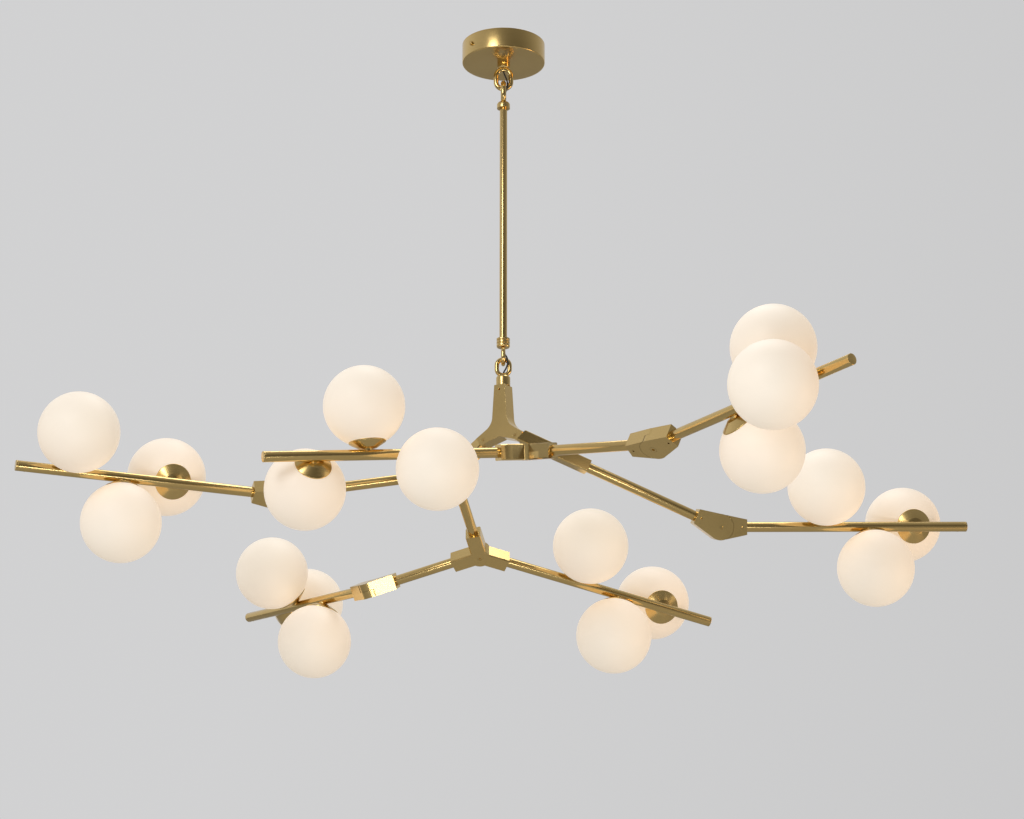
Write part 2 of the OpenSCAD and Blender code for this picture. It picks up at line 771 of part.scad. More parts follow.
// ---------- Knuckles ----------

// Half of a knuckle: its pin along Z at the origin, its socket along +X, its lap on the side given
module knuckle_half(lap_side, head_bore_d) {
    reach = norm([knuckle_len, leg_w / 2]);
    tangent = atan2(leg_w / 2, knuckle_len) + acos(knuckle_r / reach);
    edge = (knuckle_r - 0.1) * [cos(tangent), sin(tangent)];
    difference() {
        translate([0, 0, -leg_w / 2]) union() {
            cylinder(r = knuckle_r, h = leg_w, $fn = 96);
            linear_extrude(leg_w)
                polygon([edge, [knuckle_len, leg_w / 2], [knuckle_len, -leg_w / 2], [edge[0], -edge[1]]]);
        }
        mirror([0, 0, lap_side > 0 ? 0 : 1]) translate([0, 0, -leg_w / 2 - over])
            cylinder(r = knuckle_r + 0.4, h = leg_w / 2 + over + lap_gap / 2, $fn = 96);
        translate([0, 0, -leg_w]) cylinder(d = pivot_d + 2 * run_fit, h = 2 * leg_w);
        mirror([0, 0, lap_side > 0 ? 0 : 1]) translate([0, 0, leg_w / 2 - pivot_head_h])
            cylinder(d = head_bore_d, h = pivot_head_h + over);
        socket(knuckle_len);
        translate([knuckle_len - pin_hole_in, 0, 0]) cylinder(d = pin_hole_d, h = leg_w);
    }
}

// The loose half takes the pivot screw's head, the fixed half its thread
pivot_head_d = 10;
pivot_head_h = 4;
module loose_half(lap_side) {
    knuckle_half(lap_side, pivot_head_d + 2 * seat);
}

module knuckle_base(pin, tube_dir, axis, lap_side) {
    place(pin, -tube_dir, axis) knuckle_half(-lap_side, pivot_d + 2 * run_fit);
}

module knuckle_bases() {
    color(brass) {
        knuckle_base(front_pin, front_tube_dir, front_axis, 1);
        knuckle_base(right_pin, right_tube_dir, right_axis, -1);
        knuckle_base(left_pin, left_tube_dir, left_axis, -1);
        knuckle_base(back_pin, back_tube_dir, back_axis, 1);
    }
}

module pivot_screw(pin, bar_dir, axis, lap_side) {
    place(pin, bar_dir, axis) mirror([0, 0, lap_side > 0 ? 0 : 1]) translate([0, 0, leg_w / 2 + seat])
        socket_screw(pivot_head_d, pivot_head_h, pivot_d, leg_w - pivot_head_h - 1);
}

module hub_screw() {
    socket_screw(screw_head_d, screw_head_h, screw_d, screw_len);
}

module hub_screws() {
    color(brass) {
        at_riser_screws() hub_screw();
        at_block_screw(front_at, fore_dir, front_normal, 1) hub_screw();
        at_block_screw(rear_at, left_tube_dir, rear_normal, 0) hub_screw();
        at_block_screw(far_at, far_dir, far_normal, far_normal[2] > 0 ? 1 : 0) hub_screw();
        pivot_screw(front_pin, front_dir, front_axis, 1);
        pivot_screw(right_pin, right_dir, right_axis, -1);
        pivot_screw(left_pin, left_dir, left_axis, -1);
        pivot_screw(back_pin, back_dir, back_axis, 1);
    }
}

// ---------- Bars and lamps ----------

// Puts a lamp's parts on a bar: Z then points from the bar's axis to the globe
module at_lamps(end, clock) {
    for (i = [0:lamps - 1])
        translate([end - lamp_first - i * lamp_pitch, 0, 0]) rotate([-(clock + i * lamp_turn), 0, 0]) children();
}

module lamp_bar(o, x, start, end, clock) {
    wire_hole_d = 6;
    color(brass) place(o, x, up) difference() {
        rod_x(tube_d, start - socket_depth, end - cap_lip);
        rod_x(bore_d, start - socket_depth - over, end);
        at_lamps(end, clock) cylinder(d = wire_hole_d, h = tube_d);
        translate([end - bar_pin_in, 0, -tube_d]) cylinder(d = pin_hole_d, h = tube_d);
    }
}

cap_lip = 2.5;
module end_cap(o, x, end) {
    color(brass) place(o, x, up) {
        rod_x(tube_d, end - cap_lip, end);
        rod_x(bore_d - 2 * fit, end - cap_lip - 6, end - cap_lip / 2);
    }
}

module cups(o, x, end, clock) {
    color(brass) place(o, x, up) at_lamps(end, clock) difference() {
        rotate_extrude($fn = 64) polygon([
            [0, 0], [cup_foot_d / 2, 0], [cup_foot_d / 2, tube_r + 0.6], [heel_r, heel_h],
            [cup_d / 2, rim_h - 1.2], [cup_d / 2, rim_h + 0.6], [0, rim_h + 0.6]
        ]);
        translate([0, 0, globe_reach]) sphere(r = globe_r + seat, $fn = 96);
        translate([0, 0, floor_h]) cylinder(d = globe_hole_d + 2 * seat, h = rim_h);
        rod_x(tube_d, -cup_d, cup_d);
        cylinder(d = 6, h = 2 * floor_h);
    }
}

module lampholders(o, x, end, clock) {
    color(white) place(o, x, up) at_lamps(end, clock) translate([0, 0, floor_h]) difference() {
        union() {
            cylinder(d = globe_hole_d - 2 * fit, h = skirt_h);
            cylinder(d = holder_d, h = holder_h);
        }
        translate([0, 0, holder_h - 8]) cylinder(d = bulb_d / 2 + 2 * fit, h = 8 + over);
        translate([0, 0, -over]) cylinder(d = 6, h = 8);
    }
}

module bulbs(o, x, end, clock) {
    color(glass) place(o, x, up) at_lamps(end, clock) translate([0, 0, floor_h + holder_h]) {
        translate([0, 0, -7.5]) cylinder(d = bulb_d / 2, h = 9);
        cylinder(d = bulb_d, h = bulb_len - bulb_d / 2);
        translate([0, 0, bulb_len - bulb_d / 2]) sphere(d = bulb_d);
    }
}

module globes(o, x, end, clock) {
    color(glass) place(o, x, up) at_lamps(end, clock) translate([0, 0, globe_reach])
        rotate_extrude($fn = 96) difference() {
            circle(r = globe_r);
            circle(r = globe_r - globe_wall);
            translate([-2 * globe_r, -globe_r - over]) square([2 * globe_r, globe_d + 2 * over]);
            translate([-over, -globe_r - over]) square([globe_hole_d / 2 + over, globe_r]);
        }
}

module fore_bar() { lamp_bar(front_at, fore_dir, long_leg_len, fore_end, fore_bar_clock); }
module far_bar() { lamp_bar(far_at, far_dir, leg_len, far_end, far_bar_clock); }

module fixed_end_caps() {
    end_cap(front_at, fore_dir, fore_end);
    end_cap(far_at, far_dir, far_end);
}

module fixed_cups() {
    cups(front_at, fore_dir, fore_end, fore_bar_clock);
    cups(far_at, far_dir, far_end, far_bar_clock);
}

module fixed_lampholders() {
    lampholders(front_at, fore_dir, fore_end, fore_bar_clock);
    lampholders(far_at, far_dir, far_end, far_bar_clock);
}

module fixed_bulbs() {
    bulbs(front_at, fore_dir, fore_end, fore_bar_clock);
    bulbs(far_at, far_dir, far_end, far_bar_clock);
}

module fixed_globes() {
    globes(front_at, fore_dir, fore_end, fore_bar_clock);
    globes(far_at, far_dir, far_end, far_bar_clock);
}

module front_knuckle() { color(brass) place(front_pin, front_dir, front_axis) loose_half(1); }
module front_bar() { lamp_bar(front_pin, front_dir, knuckle_len, arm_end, front_bar_clock); }
module front_end_cap() { end_cap(front_pin, front_dir, arm_end); }
module front_cups() { cups(front_pin, front_dir, arm_end, front_bar_clock); }
module front_lampholders() { lampholders(front_pin, front_dir, arm_end, front_bar_clock); }
module front_bulbs() { bulbs(front_pin, front_dir, arm_end, front_bar_clock); }
module front_globes() { globes(front_pin, front_dir, arm_end, front_bar_clock); }

module right_knuckle() { color(brass) place(right_pin, right_dir, right_axis) loose_half(-1); }
module right_bar() { lamp_bar(right_pin, right_dir, knuckle_len, arm_end, right_bar_clock); }
module right_end_cap() { end_cap(right_pin, right_dir, arm_end); }
module right_cups() { cups(right_pin, right_dir, arm_end, right_bar_clock); }
module right_lampholders() { lampholders(right_pin, right_dir, arm_end, right_bar_clock); }
module right_bulbs() { bulbs(right_pin, right_dir, arm_end, right_bar_clock); }
module right_globes() { globes(right_pin, right_dir, arm_end, right_bar_clock); }

module left_knuckle() { color(brass) place(left_pin, left_dir, left_axis) loose_half(-1); }
module left_bar() { lamp_bar(left_pin, left_dir, knuckle_len, arm_end, left_bar_clock); }
module left_end_cap() { end_cap(left_pin, left_dir, arm_end); }
module left_cups() { cups(left_pin, left_dir, arm_end, left_bar_clock); }
module left_lampholders() { lampholders(left_pin, left_dir, arm_end, left_bar_clock); }
module left_bulbs() { bulbs(left_pin, left_dir, arm_end, left_bar_clock); }
module left_globes() { globes(left_pin, left_dir, arm_end, left_bar_clock); }

module back_knuckle() { color(brass) place(back_pin, back_dir, back_axis) loose_half(1); }
module back_bar() { lamp_bar(back_pin, back_dir, knuckle_len, back_arm_end, back_bar_clock); }
module back_end_cap() { end_cap(back_pin, back_dir, back_arm_end); }
module back_cups() { cups(back_pin, back_dir, back_arm_end, back_bar_clock); }
module back_lampholders() { lampholders(back_pin, back_dir, back_arm_end, back_bar_clock); }
module back_bulbs() { bulbs(back_pin, back_dir, back_arm_end, back_bar_clock); }
module back_globes() { globes(back_pin, back_dir, back_arm_end, back_bar_clock); }

ceiling_bracket();
canopy();
canopy_screws();
canopy_loop();
loop_nuts();
terminal_block();
cable_canopy();
rod_top_loop();
down_rod();
rod_bottom_loop();
cable_rod();
hub_loop();
riser();
hub_screws();
front_block();
side_leg();
rear_block();
far_block();
cable_hub();
front_tube();
right_tube();
left_tube();
link_tube();
back_tube();
knuckle_bases();
fore_bar();
far_bar();
fixed_end_caps();
fixed_cups();
fixed_lampholders();
fixed_bulbs();
fixed_globes();
front_knuckle();
front_bar();
front_end_cap();
front_cups();
front_lampholders();
front_bulbs();
front_globes();
right_knuckle();
right_bar();
right_end_cap();
right_cups();
right_lampholders();
right_bulbs();
right_globes();
left_knuckle();
left_bar();
left_end_cap();
left_cups();
left_lampholders();
left_bulbs();
left_globes();
back_knuckle();
back_bar();
back_end_cap();
back_cups();
back_lampholders();
back_bulbs();
back_globes();
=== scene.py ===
# %% [markdown]
# # A branch chandelier in satin brass and opal glass
# The lamp hangs from a round canopy. A rod hangs in a pair of loops, and under a second pair
# of loops a small hub spreads into tubes. Six bars carry three glass globes each, and four of
# the bars turn in knuckles. The construction comes ready made from the imported model, so this
# lesson dresses it: most pieces are rebuilt or softened in their own place, given a finish, and
# tied to the body that they move with.

# %% Tools and the imported frame
import math

import bmesh
import bpy
import numpy as np
from mathutils import Matrix, Vector


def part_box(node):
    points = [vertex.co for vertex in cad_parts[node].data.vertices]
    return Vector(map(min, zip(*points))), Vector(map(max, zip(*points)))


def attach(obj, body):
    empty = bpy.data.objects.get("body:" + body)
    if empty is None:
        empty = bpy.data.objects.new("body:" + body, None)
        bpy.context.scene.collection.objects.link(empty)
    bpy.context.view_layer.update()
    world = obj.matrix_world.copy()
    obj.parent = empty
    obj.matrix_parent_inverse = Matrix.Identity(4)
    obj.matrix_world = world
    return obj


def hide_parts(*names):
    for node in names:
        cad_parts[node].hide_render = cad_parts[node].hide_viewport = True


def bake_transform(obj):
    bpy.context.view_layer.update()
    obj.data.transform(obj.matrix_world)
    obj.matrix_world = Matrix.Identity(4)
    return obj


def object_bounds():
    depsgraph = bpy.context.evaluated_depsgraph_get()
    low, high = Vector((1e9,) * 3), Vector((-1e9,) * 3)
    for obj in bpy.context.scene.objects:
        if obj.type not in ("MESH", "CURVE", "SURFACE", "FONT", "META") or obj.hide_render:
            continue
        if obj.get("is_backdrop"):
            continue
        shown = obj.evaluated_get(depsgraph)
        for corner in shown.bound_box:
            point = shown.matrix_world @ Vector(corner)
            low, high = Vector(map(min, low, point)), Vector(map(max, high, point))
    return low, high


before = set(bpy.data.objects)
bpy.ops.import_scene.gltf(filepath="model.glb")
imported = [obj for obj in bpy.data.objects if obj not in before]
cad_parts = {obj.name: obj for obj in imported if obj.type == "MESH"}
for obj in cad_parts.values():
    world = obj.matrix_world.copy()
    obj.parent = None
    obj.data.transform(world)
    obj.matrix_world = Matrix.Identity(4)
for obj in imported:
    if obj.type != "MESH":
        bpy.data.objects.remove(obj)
cad_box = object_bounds()
MM = 0.001
print("CAD nodes:", len(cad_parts))

# %% [markdown]
# ## Camera
# The photograph is taken from below, about three and a half metres away, with a long lens. A
# long lens flattens the perspective, which is why the globes all look nearly the same size.
# The camera is made first; it takes the photograph's view.

# %% Camera
CAMERA_AT = Vector((0.01375, -3.4326, -1.6081))
CAMERA_PITCH = math.radians(106.1)
LENS = 80.8
HUB_HEIGHT = -0.7
camera_data = bpy.data.cameras.new("camera")
camera_data.lens = LENS
camera = bpy.data.objects.new("camera", camera_data)
camera.location = CAMERA_AT
camera.rotation_euler = (CAMERA_PITCH, 0, 0)
bpy.context.scene.collection.objects.link(camera)
bpy.context.scene.camera = camera
print("camera distance to the hub: %.2f m" % (CAMERA_AT - Vector((0, 0, HUB_HEIGHT))).length)

# %% [markdown]
# ## Shader maths
# A finish is a small calculation: a scratch pattern times a weight, plus a soft cloud. Written
# with nodes by hand that becomes a maze, so one class wraps a socket and lets plain Python
# expressions add the Math nodes. Every other node comes from one method, `add`.


# %% Sockets that can be calculated with
class Value:
    """One shader socket. Arithmetic on it adds Math nodes to its tree."""

    def __init__(self, tree, socket):
        self.tree = tree
        self.socket = socket

    def maths(self, operation, a, b):
        node = self.tree.add("Math", {"operation": operation}, {0: a, 1: b})
        return node.value("Value")

    def __add__(self, other):
        return self.maths("ADD", self, other)

    def __sub__(self, other):
        return self.maths("SUBTRACT", self, other)

    def __rsub__(self, other):
        return self.maths("SUBTRACT", other, self)

    def __mul__(self, other):
        return self.maths("MULTIPLY", self, other)

    def __pow__(self, other):
        return self.maths("POWER", self, other)

    __radd__ = __add__
    __rmul__ = __mul__

    def clamped(self):
        return self.maths("MAXIMUM", self.maths("MINIMUM", self, 1.0), 0.0)


class Node:
    """A node in a tree, whose outputs are read by name."""

    def __init__(self, tree, node):
        self.tree = tree
        self.node = node

    def value(self, name):
        return Value(self.tree, self.node.outputs[name])


class Tree:
    """A node tree of a material or of the world."""

    def __init__(self, owner):
        owner.use_nodes = True
        self.nodes = owner.node_tree.nodes
        self.links = owner.node_tree.links
        self.nodes.clear()

    def add(self, kind, settings=None, sockets=None):
        """A node of that kind. The settings are set first, then the values or links of its sockets."""
        node = self.nodes.new("ShaderNode" + kind)
        for name, setting in (settings or {}).items():
            setattr(node, name, setting)
        for name, value in (sockets or {}).items():
            if isinstance(value, Value):
                self.links.new(value.socket, node.inputs[name])
            else:
                node.inputs[name].default_value = value
        return Node(self, node)

    def mix(self, factor, a, b):
        """A colour between a and b."""
        node = self.add("Mix", {"data_type": "RGBA"}, {0: factor, 6: colour4(a), 7: colour4(b)})
        return Value(self, node.node.outputs[2])

    def scaled(self, vector, amounts):
        """A vector with each part multiplied."""
        node = self.add("VectorMath", {"operation": "MULTIPLY"}, {0: vector, 1: amounts})
        return node.value("Vector")

    def noise(self, vector, scale, detail=2.0):
        """A cloud from 0 to 1 whose features are about 1 / scale metres wide."""
        node = self.add("TexNoise", {}, {"Vector": vector, "Scale": scale, "Detail": detail})
        return node.value("Fac")


def colour4(colour):
    """A colour with its alpha, or a link as it is."""
    return colour if isinstance(colour, Value) else (*colour, 1)


# %% [markdown]
# ## Brass
# Real brass lamps are turned, drawn or cast, then brushed and lacquered. The brushing leaves
# fine parallel scratches, and these pull a highlight out at right angles to themselves. One
# recipe makes three grains: along a drawn tube, around a turned piece, and without direction
# on the cast blocks. The scratches are stretched noise: very fine across, very slow along.

# %% The three grains
FINE = 1500.0
SLOW = 9.0
CAST = 900.0


def grain_long(tree):
    """Scratches along the piece's own Z."""
    place = tree.add("TexCoord").value("Object")
    return tree.noise(tree.scaled(place, (FINE, FINE, SLOW)), 1.0)


def grain_round(tree):
    """Scratches around the piece's own Z."""
    place = tree.add("TexCoord").value("Object")
    part = tree.add("SeparateXYZ", {}, {0: place})
    x = part.value("X")
    y = part.value("Y")
    radius = (x * x + y * y) ** 0.5
    rings = tree.add("CombineXYZ", {}, {0: radius * FINE, 1: part.value("Z") * FINE})
    return tree.noise(rings.value("Vector"), 1.0)


def grain_cast(tree):
    """Short scratches without a direction."""
    place = tree.add("TexCoord").value("Object")
    return tree.noise(place, CAST, 4.0)


# %% Brass
GOLD = (0.80, 0.59, 0.25)
DEEP_GOLD = (0.66, 0.45, 0.165)
CLOUDS = 22.0
SCRATCH_ROUGHNESS = 0.08
CLOUD_ROUGHNESS = 0.05


def brass(name, grain, roughness, stretch=0.0, turn=0.0, depth=0.006):
    """Lacquered brass. Stretch is how far its scratches pull a highlight, depth is in millimetres."""
    material = bpy.data.materials.new(name)
    tree = Tree(material)
    scratches = grain(tree)
    place = tree.add("TexCoord").value("Object")
    cloud = tree.noise(place, CLOUDS, 3.0)
    tone = (scratches * 0.5 + cloud * 0.5).clamped()
    bump = tree.add("Bump", {}, {"Height": scratches, "Distance": depth * MM, "Strength": 0.4})
    average = (SCRATCH_ROUGHNESS + CLOUD_ROUGHNESS) / 2
    shader = tree.add("BsdfPrincipled", {}, {
        "Base Color": tree.mix(tone, DEEP_GOLD, GOLD),
        "Metallic": 1.0,
        "Roughness": scratches * SCRATCH_ROUGHNESS + cloud * CLOUD_ROUGHNESS + (roughness - average),
        "Anisotropic": stretch,
        "Anisotropic Rotation": turn,
        "Normal": bump.value("Normal"),
    })
    tree.add("OutputMaterial", {}, {"Surface": shader.value("BSDF")})
    return material


tube_brass = brass("satin_brass_tube", grain_long, 0.18, 0.4, 0.25)
turned_brass = brass("satin_brass_turned", grain_round, 0.22, 0.6)
cast_brass = brass("satin_brass_cast", grain_cast, 0.21)
bright_brass = brass("polished_brass", grain_cast, 0.12, depth=0.002)
print("brass finishes:", 4)

# %% [markdown]
# ## Opal glass
# Opal glass is milk-white and satin. With the lamp on, light fills the whole ball, so it looks
# lit from inside and shades only softly. True subsurface light would be slow and noisy, so the
# glass is a pale satin surface with a little glow of its own. Towards its neck the glow is
# painted dimmer and warmer: a painted shade for the lampholder, which shades the glass there.

# %% Opal glass
OPAL = (0.80, 0.775, 0.735)
WARM_OPAL = (0.84, 0.80, 0.74)
GLOW = (1.0, 0.80, 0.56)
# painted shade: the dimmer, warmer glow towards a globe's neck, where the lampholder shades the glass
SHADED_NECK_GLOW = (1.0, 0.68, 0.40)
GLOW_STRENGTH = 0.40
NECK_SHADE_START = 0.35
NECK_SHADE_RISE = 9.0


def opal_glass():
    """Opal glass with a painted shade towards the neck. Each globe's mesh notes the height of its points
    above the middle, which sets that shade.
    """
    material = bpy.data.materials.new("opal_glass")
    tree = Tree(material)
    place = tree.add("TexCoord").value("Object")
    height = tree.add("Attribute", {"attribute_name": "height"}).value("Fac")
    # painted shade: nothing at the top, growing towards the neck, where the lampholder shades the glass
    neck = (NECK_SHADE_START - height * NECK_SHADE_RISE).clamped()
    cloud = tree.noise(place, 35.0)
    haze = tree.noise(place, 600.0)
    bump = tree.add("Bump", {}, {"Height": cloud, "Distance": 0.03 * MM, "Strength": 0.4})
    shader = tree.add("BsdfPrincipled", {}, {
        "Base Color": tree.mix(cloud * 0.4, OPAL, WARM_OPAL),
        "Roughness": haze * 0.08 + 0.46,
        "Emission Color": tree.mix(neck * 0.8, GLOW, SHADED_NECK_GLOW),
        "Emission Strength": GLOW_STRENGTH,
        "Normal": bump.value("Normal"),
    })
    tree.add("OutputMaterial", {}, {"Surface": shader.value("BSDF")})
    return material


glass = opal_glass()
print("opal glass:", glass.name)

# %% [markdown]
# ## The plain finishes
# The pieces that only show from above or from within still have a finish of their own: zinc
# steel, glazed porcelain, white plastic, black cable and clear lamp glass. Each is one colour
# varied by a cloud, with a fine grain in its roughness and a shallow bump.


# %% One recipe for the plain finishes
def plain(name, dark, light, roughness, metallic=0.0, grain=500.0, depth=0.02):
    """A finish between two shades, with a fine grain."""
    material = bpy.data.materials.new(name)
    tree = Tree(material)
    place = tree.add("TexCoord").value("Object")
    cloud = tree.noise(place, 60.0, 3.0)
    fine = tree.noise(place, grain)
    bump = tree.add("Bump", {}, {"Height": fine, "Distance": depth * MM, "Strength": 0.5})
    shader = tree.add("BsdfPrincipled", {}, {
        "Base Color": tree.mix(cloud, dark, light),
        "Metallic": metallic,
        "Roughness": fine * 0.12 + roughness,
        "Normal": bump.value("Normal"),
    })
    tree.add("OutputMaterial", {}, {"Surface": shader.value("BSDF")})
    return material


zinc = plain("zinc_steel", (0.42, 0.43, 0.44), (0.62, 0.62, 0.61), 0.32, 1.0)
porcelain = plain("porcelain", (0.74, 0.73, 0.70), (0.82, 0.81, 0.78), 0.14, depth=0.006)
plastic = plain("white_plastic", (0.70, 0.70, 0.68), (0.78, 0.78, 0.75), 0.40)
rubber = plain("black_cable", (0.012, 0.012, 0.013), (0.030, 0.030, 0.030), 0.42, grain=1800.0)
clear = plain("lamp_glass", (0.78, 0.74, 0.66), (0.84, 0.80, 0.72), 0.12, depth=0.002)
print("plain finishes:", 5)

# %% [markdown]
# ## Making pieces
# Most of the lamp is turned or drawn, so two tools make nearly all of it. A lathe turns an
# outline of radius and height about Z, and a sweep carries a round section along a path. Sharp
# corners of an outline are softened first, because a real edge always catches a line of light.


# %% A new piece from points and faces
def new_piece(name, points, faces, crease=40):
    """A mesh object, smooth but for edges that bend more than crease degrees."""
    mesh = bpy.data.meshes.new(name)
    mesh.from_pydata([tuple(p) for p in points], [], faces)
    work = bmesh.new()
    work.from_mesh(mesh)
    bmesh.ops.recalc_face_normals(work, faces=work.faces)
    work.to_mesh(mesh)
    work.free()
    mesh.shade_smooth()
    mesh.set_sharp_from_angle(angle=math.radians(crease))
    piece = bpy.data.objects.new(name, mesh)
    bpy.context.scene.collection.objects.link(piece)
    return piece


# %% Softened outlines
def toward(a, b, share):
    return (a[0] + (b[0] - a[0]) * share, a[1] + (b[1] - a[1]) * share)


def soften(outline, radius, steps=4):
    """A closed outline with its corners rounded. A point's third number, if any, is its own radius."""
    made = []
    for i, corner in enumerate(outline):
        before = outline[i - 1][:2]
        after = outline[(i + 1) % len(outline)][:2]
        size = corner[2] if len(corner) > 2 else radius
        corner = corner[:2]
        if size == 0:
            made.append(corner)
            continue
        start = toward(corner, before, min(0.45, size / math.dist(corner, before)))
        end = toward(corner, after, min(0.45, size / math.dist(corner, after)))
        for k in range(steps + 1):
            t = k / steps
            made.append(toward(toward(start, corner, t), toward(corner, end, t), t))
    return made


def lathe(name, outline, steps=64):
    """Turns a closed outline of (radius, height) points about Z."""
    points = []
    rings = []
    for radius, height in outline:
        first = len(points)
        count = steps if radius > 1e-6 else 1
        for k in range(count):
            angle = math.tau * k / steps
            points.append((radius * math.cos(angle), radius * math.sin(angle), height))
        rings.append([first + k % count for k in range(steps + 1)])
    faces = []
    for low, high in zip(rings, rings[1:] + rings[:1]):
        for k in range(steps):
            corners = list(dict.fromkeys((low[k], low[k + 1], high[k + 1], high[k])))
            if len(corners) > 2:
                faces.append(corners)
    return new_piece(name, points, faces)


# %% Sweeps
def sweep(name, path, radius, sides=24, closed=False):
    """A round bar along a path."""
    path = [Vector(p) for p in path]
    count = len(path)
    side = Vector((0, 1, 0.02)).cross(path[1] - path[0]).normalized()
    points = []
    for i, p in enumerate(path):
        ahead = path[(i + 1) % count] if closed else path[min(i + 1, count - 1)]
        behind = path[i - 1] if closed or i else path[0]
        along = (ahead - behind).normalized()
        side = (side - along * side.dot(along)).normalized()
        other = along.cross(side)
        for k in range(sides):
            angle = math.tau * k / sides
            points.append(p + (side * math.cos(angle) + other * math.sin(angle)) * radius)
    faces = []
    for i in range(count if closed else count - 1):
        j = (i + 1) % count
        for k in range(sides):
            m = (k + 1) % sides
            faces.append((i * sides + k, i * sides + m, j * sides + m, j * sides + k))
    if not closed:
        faces.append(tuple(range(sides)))
        faces.append(tuple(range((count - 1) * sides, count * sides)))
    return new_piece(name, points, faces)


# %% [markdown]
# The blocks, knuckles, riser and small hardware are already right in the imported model, but
# their edges are knife sharp and their faces are cut in triangles. A copy is welded, its flat
# triangles are joined again, and every real edge gets a narrow round. The shading then follows
# the large faces, so that they stay flat right up to the rounds.

# %% Softened copies of CAD nodes
WELD = 0.002 * MM
FLAT_ANGLE = math.radians(0.6)


def softened(name, node, width, angle=28):
    """A copy of a CAD node with its edges rounded by width millimetres."""
    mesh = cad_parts[node].data.copy()
    mesh.name = name
    work = bmesh.new()
    work.from_mesh(mesh)
    bmesh.ops.remove_doubles(work, verts=work.verts, dist=WELD)
    bmesh.ops.dissolve_limit(work, angle_limit=FLAT_ANGLE, verts=work.verts, edges=work.edges)
    work.to_mesh(mesh)
    work.free()
    mesh.materials.clear()
    mesh.shade_smooth()
    rough = bpy.data.objects.new(name, mesh)
    bpy.context.scene.collection.objects.link(rough)
    bevel = rough.modifiers.new("edges", "BEVEL")
    bevel.width = width * MM
    bevel.segments = 3
    bevel.limit_method = "ANGLE"
    bevel.angle_limit = math.radians(angle)
    flat = rough.modifiers.new("flat faces", "WEIGHTED_NORMAL")
    flat.weight = 100
    flat.keep_sharp = True
    bpy.context.view_layer.update()
    whole = rough.evaluated_get(bpy.context.evaluated_depsgraph_get())
    made = bpy.data.meshes.new_from_object(whole)
    rough.modifiers.clear()
    rough.data = made
    bpy.data.meshes.remove(mesh)
    return rough


# %% Finishing a piece
def finish(piece, body, nodes, material, matrix=None):
    """Places a piece, gives it its finish and ties it to its body."""
    piece.data.materials.clear()
    piece.data.materials.append(material)
    if matrix is not None:
        piece.matrix_world = matrix
    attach(piece, body)
    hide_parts(*([nodes] if isinstance(nodes, str) else nodes))
    return piece


# %% [markdown]
# ## Measuring the frame
# Nothing is placed by eye. A straight tube's line comes from the vertices at its two ends, and
# a globe's centre from a sphere fitted through its outer points. These few numbers then place
# every bar, cup and globe.


# %% Points, lines and frames
END_DEPTH = 0.5 * MM


def points_of(node):
    """The vertices of a CAD node."""
    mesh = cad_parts[node].data
    flat = np.empty(len(mesh.vertices) * 3, np.float32)
    mesh.vertices.foreach_get("co", flat)
    return np.unique(flat.reshape(-1, 3).round(6), axis=0).astype(float)


def line_of(node):
    """The two end centres of a straight round piece, the one nearer the rod's axis first."""
    points = points_of(node)
    middle = points.mean(0)
    along = np.linalg.svd(points - middle)[2][0]
    reach = (points - middle) @ along
    low = points[reach < reach.min() + END_DEPTH].mean(0)
    high = points[reach > reach.max() - END_DEPTH].mean(0)
    ends = sorted((Vector(low), Vector(high)), key=lambda p: p.xy.length)
    return ends[0], ends[1]


def axes(origin, z, x):
    """A placing matrix with its Z along z and its X as near x as it can be."""
    z = z.normalized()
    y = z.cross(x).normalized()
    matrix = Matrix((y.cross(z), y, z)).transposed().to_4x4()
    matrix.translation = origin
    return matrix


UP = Vector((0, 0, 1))

# %% [markdown]
# ## Canopy
# The canopy is a spun cap of sheet brass, brushed while it turned, so its scratches run in
# circles and its highlights open into wedges. It is one lathe outline: up the outside, over
# the rim, and back down the inside.

# %% Canopy
low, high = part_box("canopy")
canopy_r = (high.x - low.x) / 2
canopy_h = high.z - low.z
SHEET = 1.2 * MM
SHANK_HOLE_R = 5.2 * MM
EDGE_R = 2.2 * MM
INNER_EDGE_R = 1.2 * MM
canopy_inner_r = canopy_r - SHEET
canopy_floor_z = SHEET - canopy_h
canopy_outline = [
    (canopy_r, -canopy_h, EDGE_R), (canopy_r, 0), (canopy_inner_r, 0),
    (canopy_inner_r, canopy_floor_z, INNER_EDGE_R),
    (SHANK_HOLE_R, canopy_floor_z), (SHANK_HOLE_R, -canopy_h),
]
canopy = lathe("canopy_cap", soften(canopy_outline, 0.3 * MM, 6), 128)
finish(canopy, "ceiling", "canopy", turned_brass, Matrix.Translation((0, 0, high.z)))
print("canopy: %.0f mm across, %.0f mm high" % (2 * canopy_r / MM, canopy_h / MM))

# %% [markdown]
# The rim screws, the steel bracket, its nuts and the terminal block sit on or in the canopy.
# They are small pressed and machined parts, so they are softened copies with narrow edges.

# %% Fittings of the canopy: piece, node, width of the edges in millimetres and finish
small_parts = [
    ("rim_screws", "canopy_screws", 0.25, bright_brass, "polished_brass"),
    ("bracket", "ceiling_bracket", 0.5, zinc, "zinc_steel"),
    ("shank_nuts", "loop_nuts", 0.5, zinc, "zinc_steel"),
    ("terminals", "terminal_block", 0.6, plastic, "white_plastic"),
]
for name, node, width, material, slot in small_parts:
    finish(softened(name, node, width), "ceiling", node, material)
print("canopy fittings:", len(small_parts))

# %% [markdown]
# ## Loops
# Each hinge is two oval links, one through the other, a quarter turn apart. A link is a round
# bar bent into a ring, so it is a sweep along two straights and two half circles. It grows out
# of a turned collar, which has a narrow groove where it meets the next piece.

# %% Oval link
def link_path(bar, width, height, steps=20):
    """The centre line of an upright oval link whose top is at 0."""
    turn_r = (width - bar) / 2
    top = -bar / 2 - turn_r
    foot = -height + bar / 2 + turn_r
    path = []
    for middle, first in ((top, 0), (foot, math.pi)):
        for k in range(steps + 1):
            angle = first + math.pi * k / steps
            path.append((turn_r * math.cos(angle), 0, middle + turn_r * math.sin(angle)))
    return path


